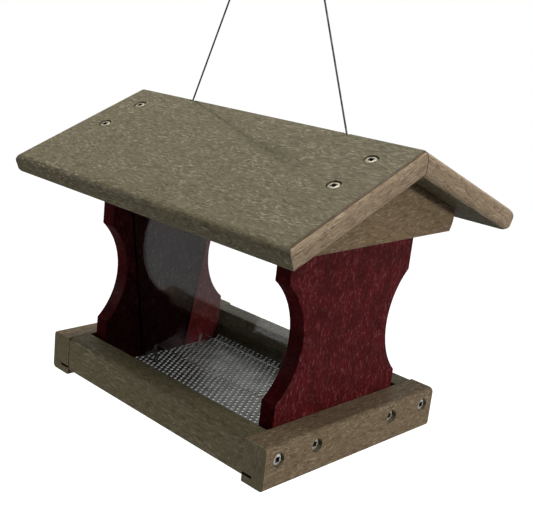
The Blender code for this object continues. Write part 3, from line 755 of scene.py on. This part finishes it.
def screw_mesh():
    """A flat-topped screw with a tapered square recess and a coarse thread."""
    head, under, shank = SCREW_HEAD / 2, -SCREW_HEAD_HEIGHT, SCREW_SHANK / 2
    sides = 48
    profile = [(shank * 0.62, under - 0.0008), (shank, under), (head * 0.62, under)]
    profile += [(head - 0.0003, under), (head, under + 0.0003), (head, under * 0.55)]
    profile += [(head - r, under * 0.55 + h) for r, h in ((0.0001, 0.0004), (0.0004, 0.0008))]
    profile += [(head * 0.80, under * 0.07), (head * 0.66, 0.0)]
    loops = [[(x, y, z) for x, y in circle(0, 0, r, sides)] for r, z in profile]
    for scale, z in ((1.12, 0.0), (1.0, -0.0002), (0.94, -SCREW_SQUARE_DEPTH), (0.5, -0.0021)):
        square = []
        for x, y in circle(0, 0, 1, sides):
            reach = SCREW_SQUARE / 2 * scale / max(abs(x), abs(y))
            square.append((x * reach, y * reach, z))
        loops.append(square)
    bm = bmesh.new()
    rings = [[bm.verts.new(point) for point in loop] for loop in loops]
    bm.faces.new(rings[0][::-1])
    bm.faces.new(rings[-1])
    bridge(bm, rings)

    # The thread is one closed tube round the shank, whose crest winds down to the point
    around, turns = 16, (SCREW_LENGTH - 0.002) / THREAD_PITCH
    tip = under - SCREW_LENGTH
    rings = []
    for k in range(int(around * turns) + 1):
        z = under - 0.0012 - THREAD_PITCH * k / around
        taper = min(1.0, max(0.12, (z - tip) / SCREW_POINT))
        angle = 2 * math.pi * k / around
        ring = []
        for r, dz in THREAD_OUTLINE:
            reach = shank * r * (taper if r > 0.2 else min(1.0, taper + 0.1))
            spot = (reach * math.cos(angle), reach * math.sin(angle), z + dz * THREAD_PITCH)
            ring.append(bm.verts.new(spot))
        rings.append(ring)
    bm.faces.new(rings[0])
    bridge(bm, rings)
    bm.faces.new(rings[-1][::-1])
    return mesh_of(bm, "screw", 30)


def torn_ring_mesh():
    """Plastic thrown up round a driven head, flat in XY with its middle at the origin."""
    chance = random.Random(4)
    sides, bm = 72, bmesh.new()
    inner = SCREW_HEAD / 2 + COUNTERBORE_PLAY
    rings = []
    for share, lift in TORN_OUTLINE:
        ring = []
        for i in range(sides):
            angle = 2 * math.pi * i / sides
            spot = Vector((math.cos(angle), math.sin(angle), 0)) * 2.2
            ragged = 0.75 + 0.9 * noise.noise(spot) + 0.35 * noise.noise(spot * 4)
            wide = TORN_WIDTH * max(0.35, 1 + 0.6 * noise.noise(spot * 1.7 + Vector((5, 0, 0))))
            r = inner - 0.00012 + wide * share
            h = TORN_HEIGHT * lift * max(0.15, ragged) if lift > 0 else 0.0006 * lift
            h += 0.00003 * chance.uniform(-1, 1) if 0 < share < 1 else 0.0
            ring.append(bm.verts.new((r * math.cos(angle), r * math.sin(angle), h)))
        rings.append(ring)
    bridge(bm, [*rings, rings[0]])
    return mesh_of(bm, "torn_ring", 60)


# Cable


def leg_at(z, side=1):
    return Vector((side * (CABLE_APEX - z) * CABLE_LEAN, 0, z))


def anchor_line():
    start = Vector((PANEL_INNER, 0, PEAK - ANCHOR_DROP))
    way = Vector((math.cos(ANCHOR_SLANT), 0, -math.sin(ANCHOR_SLANT)))
    return start, way, PANEL_THICKNESS / math.cos(ANCHOR_SLANT)


def smooth_route(corners, spacing):
    """Points about this far apart on a smooth curve through the corners."""
    ends = [corners[0] * 2 - corners[1], *corners, corners[-1] * 2 - corners[-2]]
    route = []
    for a, b, c, d in zip(ends, ends[1:], ends[2:], ends[3:]):
        steps = max(1, round((c - b).length / spacing))
        for k in range(steps):
            t = k / steps
            straight = 2 * b + (c - a) * t
            curved = (2 * a - 5 * b + 4 * c - d) * t**2 + (3 * b - a - 3 * c + d) * t**3
            route.append((straight + curved) / 2)
    return [*route, corners[-1]]


def sweep(route, profile):
    """A tube along the route, whose cross-section profile(length so far) gives as (u, v) points."""
    bm = bmesh.new()
    across, length, rings = None, 0.0, []
    for before, here, after in zip([route[0], *route], route, [*route[1:], route[-1]]):
        way = (after - before).normalized()
        if across is None:
            across = way.orthogonal()
        across = (across - way * across.dot(way)).normalized()
        side = way.cross(across)
        rings.append([bm.verts.new(here + across * u + side * v) for u, v in profile(length)])
        length += (after - here).length
    bridge(bm, rings)
    bm.faces.new(rings[0][::-1])
    bm.faces.new(rings[-1])
    return bm


def stranded(length):
    """The outline of a cable's outer strands, turned by their lay."""
    turn = 2 * math.pi * length / STRAND_LAY
    outer = CABLE_DIAMETER / 2
    points = []
    for strand in range(STRANDS):
        for share in (-1, -0.5, 0, 0.5):
            off = share * math.pi / STRANDS
            reach = outer * (2 * math.cos(off) + math.sqrt(max(0, 1 - 4 * math.sin(off) ** 2))) / 3
            angle = turn + 2 * math.pi * strand / STRANDS + off
            points.append((reach * math.cos(angle), reach * math.sin(angle)))
    return points


def cable(name, corners, finish, node):
    route = smooth_route(corners, CABLE_DIAMETER * 0.4)
    mesh = mesh_of(sweep(route, stranded), name, 60)
    return piece(name, mesh, finish, None, [node]), route


def stretch(names, corners, finish):
    """A taut stretch of a leg, from one body to the other."""
    name, node = names
    leg, route = cable(name, corners, finish, node)
    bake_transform(leg)


def ferrule(name, node, start, along, finish, size, dents=()):
    """A crimped sleeve: rounded ends, pressed flat and dented where the tool closed it."""
    length, width, thickness = size
    steps, flat = 40, Vector((0, 1, 0))
    side = along.cross(flat)
    bm = bmesh.new()
    rings = []
    for k in range(steps + 1):
        share = k / steps
        here = start + along * (length * k / steps)
        end = min(share, 1 - share) * length
        shoulder = min(1.0, 0.82 + 0.18 * math.sqrt(min(1.0, end / CRIMP_ROUND)))
        dent = sum(math.exp(-(((share - at) * length / CRIMP_DENT) ** 2)) for at in dents)
        outline = ellipse(
            width / 2 * shoulder * (1 + 0.03 * dent), thickness / 2 * shoulder * (1 - 0.26 * dent), 32
        )
        rings.append([bm.verts.new(here + flat * u + side * v) for u, v in outline])
    bridge(bm, rings)
    bm.faces.new(rings[0][::-1])
    bm.faces.new(rings[-1])
    return piece(name, mesh_of(bm, name), finish, "base", [node])


def link_middles():
    base = CABLE_APEX - LINK_CENTRE_X / CABLE_LEAN
    return ((-LINK_CENTRE_X, base), (LINK_CENTRE_X, base), (0, base + LINK_RISE))


def hanging_link(finish):
    """A bent wire, butt-welded in the middle of its lower run."""
    middles = link_middles()
    route = []
    for i, (x, z) in enumerate(middles):
        before_x, before_z = middles[i - 1]
        after_x, after_z = middles[(i + 1) % 3]
        start = math.atan2(z - before_z, x - before_x) - math.pi / 2
        end = math.atan2(after_z - z, after_x - x) - math.pi / 2
        bend = arc(x, z, LINK_ROUND, start, start + (end - start) % (2 * math.pi), 24)
        route += [Vector((u, 0, v)) for u, v in bend]
    whole = []
    for a, b in zip(route, route[1:] + route[:1]):
        steps = max(1, round((b - a).length / 0.0006))
        whole += [a.lerp(b, k / steps) for k in range(steps)]
    weld_z = middles[0][1] - LINK_ROUND
    bm = bmesh.new()
    rings, across = [], Vector((0, 1, 0))
    for i, here in enumerate(whole):
        way = (whole[(i + 1) % len(whole)] - whole[i - 1]).normalized()
        side = way.cross(across)
        near = math.hypot(here.x, here.z - weld_z)
        swell = WELD_SWELL * math.exp(-((near / WELD_REACH) ** 2))
        neck = WELD_NECK * math.exp(-(((near - WELD_NECK_AT) / WELD_NECK_REACH) ** 2))
        radius = LINK_WIRE / 2 * (1 + swell - neck) / (1 + WELD_SWELL)
        outline = ellipse(radius, radius, 24)
        rings.append([bm.verts.new(here + across * u + side * v) for u, v in outline])
    bridge(bm, [*rings, rings[0]])
    return piece("link", mesh_of(bm, "link"), finish, "base", ["hanging_link"])


def hanger(word, side, finish, steel):
    """One leg of the cable with its stop in the end panel, and its eye and sleeve at the link."""

    def mirrored(points):
        return [Vector((side * p.x, p.y, p.z)) for p in points]

    start, way, through = anchor_line()
    stop = start + way * (through - STOP_COVER - STOP_LENGTH)
    size = (STOP_LENGTH, STOP_DIAMETER, STOP_DIAMETER)
    stop_piece = ferrule(f"stop_{word}", f"cable_stop_{word}", *mirrored((stop, way)), steel, size)

    along = (leg_at(PEAK) - leg_at(RIDGE_HEIGHT)).normalized()
    x, z = link_middles()[1]
    hook = Vector((x, 0, z)) + along * (LINK_ROUND - (LINK_WIRE + CABLE_DIAMETER) / 2 - FIT)
    middle = hook + along * EYE_LENGTH_RADIUS
    sleeve = middle + along * (EYE_LENGTH_RADIUS + CABLE_DIAMETER / 2 + FIT)
    near_half = [sleeve + along * (u * EYE_LENGTH_RADIUS) + Vector((0, v, 0)) for u, v in EYE_HALF]
    far_half = [p - Vector((0, 2 * p.y, 0)) for p in reversed(near_half)]
    corners = mirrored([*near_half, hook, *far_half])
    eye, _ = cable(f"eye_{word}", corners, finish, f"cable_eye_{word}")
    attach(eye, "base")
    size = (SLEEVE_LENGTH, SLEEVE_DIAMETER, SLEEVE_DIAMETER * SLEEVE_FLATNESS)
    crimp = ferrule(
        f"sleeve_{word}", f"crimp_sleeve_{word}", *mirrored((sleeve, along)), steel, size, (0.3, 0.7)
    )

    join = leg_at((RIDGE_HEIGHT + PEAK) / 2)
    top = sleeve + along * (SLEEVE_LENGTH - 0.0015)
    above = join - along * FIT / 2
    corners = mirrored([above.lerp(top, k / 20) for k in range(21)])
    sleeve_end = mirrored([sleeve + along * SLEEVE_LENGTH])[0]
    names, ends = (f"leg_{word}_upper", f"cable_{word}_upper"), (corners[0], sleeve_end)
    stretch(names, corners, finish)
    lower = mirrored(
        [
            stop + way * 0.001,
            start + way * CABLE_DIAMETER,
            start - way * CABLE_DIAMETER * 1.5,
            leg_at(PEAK),
            join + along * FIT / 2,
        ]
    )
    names, ends = (f"leg_{word}_lower", f"cable_{word}_lower"), (lower[2], lower[-1])
    stretch(names, lower, finish)


# Materials


class Maker:
    """Adds shader nodes to a new material and links them in one call each."""

    def __init__(self, name):
        self.material = bpy.data.materials.new(name)
        self.material.use_nodes = True
        self.tree = self.material.node_tree
        self.shader = self.tree.nodes["Principled BSDF"]
        self.place = self.tree.nodes.new("ShaderNodeTexCoord").outputs["Object"]

    def node(self, kind, settings=(), **inputs):
        """A node whose inputs are given by name, or as i0, i1 and so on where names repeat."""
        made = self.tree.nodes.new(kind)
        for key, value in settings:
            setattr(made, key, value)
        for key, value in inputs.items():
            numbered = key[0] == "i" and key[1:].isdigit()
            feed(self.tree, made.inputs[int(key[1:]) if numbered else key.replace("_", " ")], value)
        return made

    def tilted(self, angle):
        """The object's coordinates turned about its X axis."""
        return self.node("ShaderNodeMapping", Vector=self.place, Rotation=(angle, 0, 0)).outputs[0]

    def stretched(self, scale, vector=None):
        """Coordinates scaled by (x, y, z), so that noise of scale 1 has features of 1/scale metres."""
        return self.node("ShaderNodeMapping", Vector=vector or self.place, Scale=scale).outputs[0]

    def noise(self, vector, scale=1.0, detail=2.0, roughness=0.5, distortion=0.0):
        made = self.node("ShaderNodeTexNoise", Vector=vector, Scale=scale, Detail=detail)
        made.inputs["Roughness"].default_value = roughness
        made.inputs["Distortion"].default_value = distortion
        return made.outputs[0]

    def math(self, operation, a, b):
        return arithmetic(self.tree, operation, a, b)

    def ramp(self, value, low, high, to_low=0.0, to_high=1.0):
        settings = (("interpolation_type", "SMOOTHSTEP"),)
        made = self.node("ShaderNodeMapRange", settings, Value=value)
        for key, number in (("From Min", low), ("From Max", high), ("To Min", to_low), ("To Max", to_high)):
            made.inputs[key].default_value = number
        return made.outputs[0]

    def mix(self, share, a, b):
        made = self.tree.nodes.new("ShaderNodeMix")
        made.data_type = "RGBA"
        for i, value in ((0, share), (6, a), (7, b)):
            feed(self.tree, made.inputs[i], (*value, 1.0) if isinstance(value, tuple) else value)
        return made.outputs[2]

    def bump(self, height, distance, strength, after=None):
        made = self.node("ShaderNodeBump", Height=height, Distance=distance, Strength=strength)
        if after:
            self.tree.links.new(after, made.inputs["Normal"])
        return made.outputs[0]

    def wire(self, output, socket):
        self.tree.links.new(output, self.shader.inputs[socket])

    def plain(self, socket, value):
        self.shader.inputs[socket].default_value = value

    def surface(self, shader):
        self.tree.links.new(shader.outputs[0], self.tree.nodes["Material Output"].inputs["Surface"])


def axes(along, fast, slow):
    """Scales with the slow one along the named axis."""
    return tuple(slow if axis == along else fast for axis in "XYZ")


def midway(a, b):
    return tuple(0.5 * (x + y) for x, y in zip(a, b))


def flow_marks(m, along, across, lengthwise, wander_size, wander):
    """Short strokes that lie along the board and meander, as coordinates and as a value."""
    drift = m.noise(m.place, wander_size, 2.0)
    settings = (("operation", "MULTIPLY_ADD"),)
    bent = m.node("ShaderNodeVectorMath", settings, i0=drift, i1=(wander,) * 3, i2=m.place).outputs[0]
    return bent, m.noise(m.stretched(axes(along, across, lengthwise), bent), 1.0, 2.5, 0.6, 0.5)


def lumber(name, along, base, pale, dark, tilt=0.0, across=680, lengthwise=170):
    """Recycled plastic lumber: pale and dark strokes that wander along the board."""
    m = Maker(name)
    m.place = m.tilted(tilt)
    bent, marks = flow_marks(m, along, across, lengthwise, 60, 0.007)
    # The dark strokes are read from another part of the pattern than the pale ones
    settings = (("operation", "ADD"),)
    shifted = m.node("ShaderNodeVectorMath", settings, i0=bent, i1=(0.31, 0.17, 0.23)).outputs[0]
    low = m.noise(m.stretched(axes(along, 560, 130), shifted), 1.0, 2.0, 0.6, 0.5)
    fine = m.noise(m.stretched(axes(along, 1300, 300), bent), 1.0, 2.0, 0.6)
    cloud = m.noise(m.stretched(axes(along, 60, 32)), 1.0, 3.0, 0.55)
    tone = m.mix(m.ramp(low, 0.52, 0.34), base, dark)
    dense = m.ramp(cloud, 0.36, 0.66, 0.50, 1.0)
    marked = m.mix(m.math("MULTIPLY", m.ramp(marks, 0.50, 0.68), dense), tone, pale)
    grainy = m.mix(m.ramp(fine, 0.42, 0.74, 0.0, 0.46), marked, midway(base, pale))
    m.wire(grainy, "Base Color")
    m.wire(m.ramp(marks, 0.3, 0.75, 0.62, 0.46), "Roughness")
    m.plain("Specular IOR Level", LUMBER_GLOSS)
    first = m.bump(marks, 0.00022, 0.5)
    m.wire(m.bump(fine, 0.00006, 0.45, first), "Normal")
    return m.material


def maroon(name, low, high, pale, gloss):
    """Dark red recycled plastic with bundles of paler strokes that run up the board."""
    m = Maker(name)
    bent, marks = flow_marks(m, "Z", 780, 215, 45, 0.016)
    cloud = m.noise(m.stretched(axes("Z", 120, 70), bent), 1.0, 3.0, 0.55)
    fine = m.noise(m.stretched(axes("Z", 1400, 420), bent), 1.0, 2.0, 0.6)
    base = m.mix(m.ramp(cloud, 0.35, 0.65), low, high)
    share = m.math("MULTIPLY", m.ramp(marks, 0.50, 0.72), m.ramp(cloud, 0.38, 0.66, 0.35, 1.0))
    streaked = m.mix(share, base, pale)
    grainy = m.mix(m.ramp(fine, 0.43, 0.76, 0.0, 0.36), streaked, midway(high, pale))
    m.wire(grainy, "Base Color")
    m.wire(m.ramp(marks, 0.3, 0.75, 0.50, 0.36), "Roughness")
    m.plain("Specular IOR Level", gloss)
    first = m.bump(marks, 0.0002, 0.5)
    m.wire(m.bump(fine, 0.00005, 0.4, first), "Normal")
    return m.material


def sheet_metal(name):
    m = Maker(name)
    brushed = m.noise(m.stretched((120, 2600, 2600)), 1.0, 2.0, 0.6)
    blotch = m.noise(m.place, 90, 3.0)
    m.wire(m.mix(m.ramp(blotch, 0.35, 0.7), (0.20, 0.205, 0.19), (0.30, 0.305, 0.285)), "Base Color")
    m.wire(m.ramp(brushed, 0.3, 0.7, 0.36, 0.52), "Roughness")
    m.plain("Metallic", 1.0)
    m.wire(m.bump(brushed, 0.00002, 0.3), "Normal")
    return m.material


def screw_metal(name, dull, clean, shine):
    """Plain steel with a dull bloom and fine scratches."""
    m = Maker(name)
    bloom = m.noise(m.place, 420, 3.0, 0.6)
    scratch = m.noise(m.stretched((900, 5200, 3000)), 1.0, 2.0, 0.6)
    tone = m.mix(m.ramp(bloom, 0.35, 0.68), dull, clean)
    scored = tuple(1.15 * level for level in clean)
    m.wire(m.mix(m.ramp(scratch, 0.60, 0.80, 0.0, 0.5), tone, scored), "Base Color")
    m.wire(m.ramp(bloom, 0.3, 0.7, 0.36, 0.54), "Roughness")
    m.plain("Metallic", shine)
    m.wire(m.bump(scratch, 0.00001, 0.35), "Normal")
    return m.material


def painted_recess_shade(name):
    """The walls of a driver recess, painted near black as the shade inside it, and mottled a little in tone
    and roughness.
    """
    m = Maker(name)
    mottle = m.noise(m.place, 900, 2.0)
    m.wire(m.mix(m.ramp(mottle, 0.35, 0.7), (0.010, 0.009, 0.007), (0.028, 0.026, 0.022)), "Base Color")
    m.wire(m.ramp(mottle, 0.3, 0.7, 0.5, 0.75), "Roughness")
    return m.material


def cable_metal(name):
    """Galvanised strands, duller in some patches than in others."""
    m = Maker(name)
    dull = m.noise(m.place, 260, 3.0)
    fine = m.noise(m.place, 3800, 2.0)
    tone = m.mix(m.ramp(dull, 0.35, 0.7), (0.040, 0.040, 0.040), (0.11, 0.11, 0.108))
    m.wire(m.mix(m.ramp(fine, 0.58, 0.8, 0.0, 0.4), tone, (0.20, 0.20, 0.195)), "Base Color")
    m.wire(m.ramp(fine, 0.3, 0.7, 0.34, 0.5), "Roughness")
    m.plain("Metallic", 0.9)
    return m.material


def acrylic(name):
    """Clear sheet. Light goes straight through it, and its faces reflect as a real sheet's do."""
    m = Maker(name)
    smear = m.noise(m.place, 40, 3.0)
    m.plain("Base Color", (1, 1, 1, 1))
    m.plain("Transmission Weight", 1.0)
    m.plain("IOR", ACRYLIC_IOR)
    m.wire(m.ramp(smear, 0.4, 0.75, 0.0, 0.012), "Roughness")
    # What a slanting face reflects doesn't pass through it as light either
    turned_away = m.node("ShaderNodeFresnel", IOR=ACRYLIC_IOR).outputs[0]
    clear = m.tree.nodes.new("ShaderNodeBsdfTransparent")
    m.tree.links.new(m.mix(turned_away, CLEAR_TINT, (0.0, 0.0, 0.0)), clear.inputs[0])
    rays = m.tree.nodes.new("ShaderNodeLightPath")
    through = m.math("MAXIMUM", rays.outputs["Is Shadow Ray"], rays.outputs["Is Diffuse Ray"])
    mix = m.node("ShaderNodeMixShader", i0=through, i1=m.shader.outputs[0], i2=clear.outputs[0])
    m.surface(mix)
    return m.material


def cut_acrylic(name):
    """The sawn edges of a clear sheet, which are matte and pale."""
    m = Maker(name)
    chatter = m.noise(m.stretched((1800, 1800, 1800)), 1.0, 2.0)
    m.wire(m.mix(m.ramp(chatter, 0.35, 0.7), (0.22, 0.23, 0.23), (0.36, 0.38, 0.38)), "Base Color")
    m.wire(m.ramp(chatter, 0.3, 0.7, 0.35, 0.6), "Roughness")
    m.plain("Transmission Weight", 0.6)
    m.plain("IOR", ACRYLIC_IOR)
    m.wire(m.bump(chatter, 0.00003, 0.5), "Normal")
    return m.material


def boards(weathered):
    """The tray's rails, the end panels, the roof boards and the gables, each mesh used twice."""
    front_rail = lumber("driftwood_long_rail", "X", *OLIVE)
    brown = lumber("driftwood_brown", "Y", *BROWN)
    rail_brown = lumber("driftwood_end_rail", "Y", *RAIL_BROWN)
    end_face = lumber("driftwood_end_face", "Z", *END_FACE)
    cut = lumber("driftwood_cut", "Y", *CUT, tilt=-ROOF_PITCH, across=1300, lengthwise=70)
    edge_shade = lumber("driftwood_edge_shade", "Y", *ROOF_EDGE_SHADE, tilt=-ROOF_PITCH, across=1000, lengthwise=90)
    edge_highlight = lumber("driftwood_edge_highlight", "Y", *EDGE_HIGHLIGHT)
    kerf = lumber("driftwood_kerf_shade", "Y", *KERF_SHADE)
    red = maroon("red_board", *RED, RED_GLOSS)
    red_edge_shade = maroon("red_board_edge_shade", *RED_EDGE_SHADE, RED_EDGE_GLOSS)
    ends, slopes = ("right", "left"), ("front", "rear")
    twins = (
        (end_rail_mesh, end_rail_finish, "rail", "tray_rail", ends, [rail_brown, end_face, edge_highlight, kerf]),
        (long_rail_mesh, None, "rail", "tray_rail", slopes, [front_rail]),
        (end_panel_mesh, end_panel_finish, "end", "end_panel", ends, [red, red_edge_shade]),
        (roof_mesh, roof_finish, "roof", "roof_panel", slopes, [weathered, cut, edge_shade]),
        (gable_mesh, None, "gable_board", "gable", ends, [brown]),
    )
    half_turn = Matrix.Rotation(math.pi, 4, "Z")
    for shape, choose, looks, node, words, finish in twins:
        mesh = shape()
        if choose:
            for face in mesh.polygons:
                face.material_index = choose(face)
        body = "roof" if looks in ("roof", "gable_board") else "base"
        for word, matrix in zip(words, (None, half_turn)):
            piece(f"{looks}_{word}", mesh, finish, body, [f"{node}_{word}"], matrix)


def screws(weathered, steel):
    """Eight screws with torn rings in the roof, and four screws in each end rail."""
    # The driver recesses are painted near black, as painted shade
    recess = painted_recess_shade("screw_socket_shade")
    tray_metals = [steel, recess]
    roof_metals = [screw_metal("screw_steel_weathered", *WEATHERED_STEEL), recess]
    screw, torn = screw_mesh(), torn_ring_mesh()
    for face in screw.polygons:
        face.material_index = screw_finish(face)
    roof_screw = screw.copy()
    for end, side in (("left", -1), ("right", 1)):
        for slope, front in (("front", -1), ("rear", 1)):
            for i, down in enumerate(ROOF_SCREWS_DOWN_SLOPE):
                mouth = (side * ROOF_SCREW_X, front * down * COS, RIDGE_HEIGHT - down * SIN)
                inward = (0, -front * SIN, -COS)
                name = f"roof_screw_{slope}_{end}_{i + 1}"
                seat = screw_seat(mouth, inward, ROOF_SCREW_SINK)
                piece(f"{name}_looks", roof_screw, roof_metals, "roof", [name], seat)
                # Each torn ring is turned its own way, so that no two look alike
                turn = Matrix.Rotation(1.7 * i + 2.3 * side + front, 4, "Z")
                ring = screw_seat(mouth, inward, 0) @ turn
                name = f"torn_{slope}_{end}_{i + 1}"
                piece(name, torn, weathered, "roof", [], ring)
            for what, (y, sink) in zip(("panel", "rail"), END_RAIL_SCREWS):
                mouth = (side * TRAY_LENGTH / 2, front * y, RAIL_SCREW_HEIGHT)
                name = f"{what}_screw_{slope}_{end}"
                seat = screw_seat(mouth, (-side, 0, 0), sink)
                piece(f"{name}_looks", screw, tray_metals, "base", [name], seat)


def main():
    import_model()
    camera()
    studio()
    steel = screw_metal("screw_steel", *STEEL)
    wire = cable_metal("cable_steel")
    link = hanging_link(steel)
    hanger("left", -1, wire, steel)
    hanger("right", 1, wire, steel)

    weathered = lumber("driftwood_weathered", "X", *WEATHERED, across=860, lengthwise=230)
    boards(weathered)
    sheet = sheet_metal("perforated_sheet")
    piece("screen", screen_mesh(), sheet, "base", ["tray_screen"])
    clear = [acrylic("clear_acrylic"), cut_acrylic("cut_acrylic")]
    pane = pane_mesh()
    piece("glazing_front", pane, clear, "base", ["pane_front"], pane_seat(-1))
    piece("glazing_rear", pane, clear, "base", ["pane_rear"], pane_seat(1))
    screws(weathered, steel)


main()
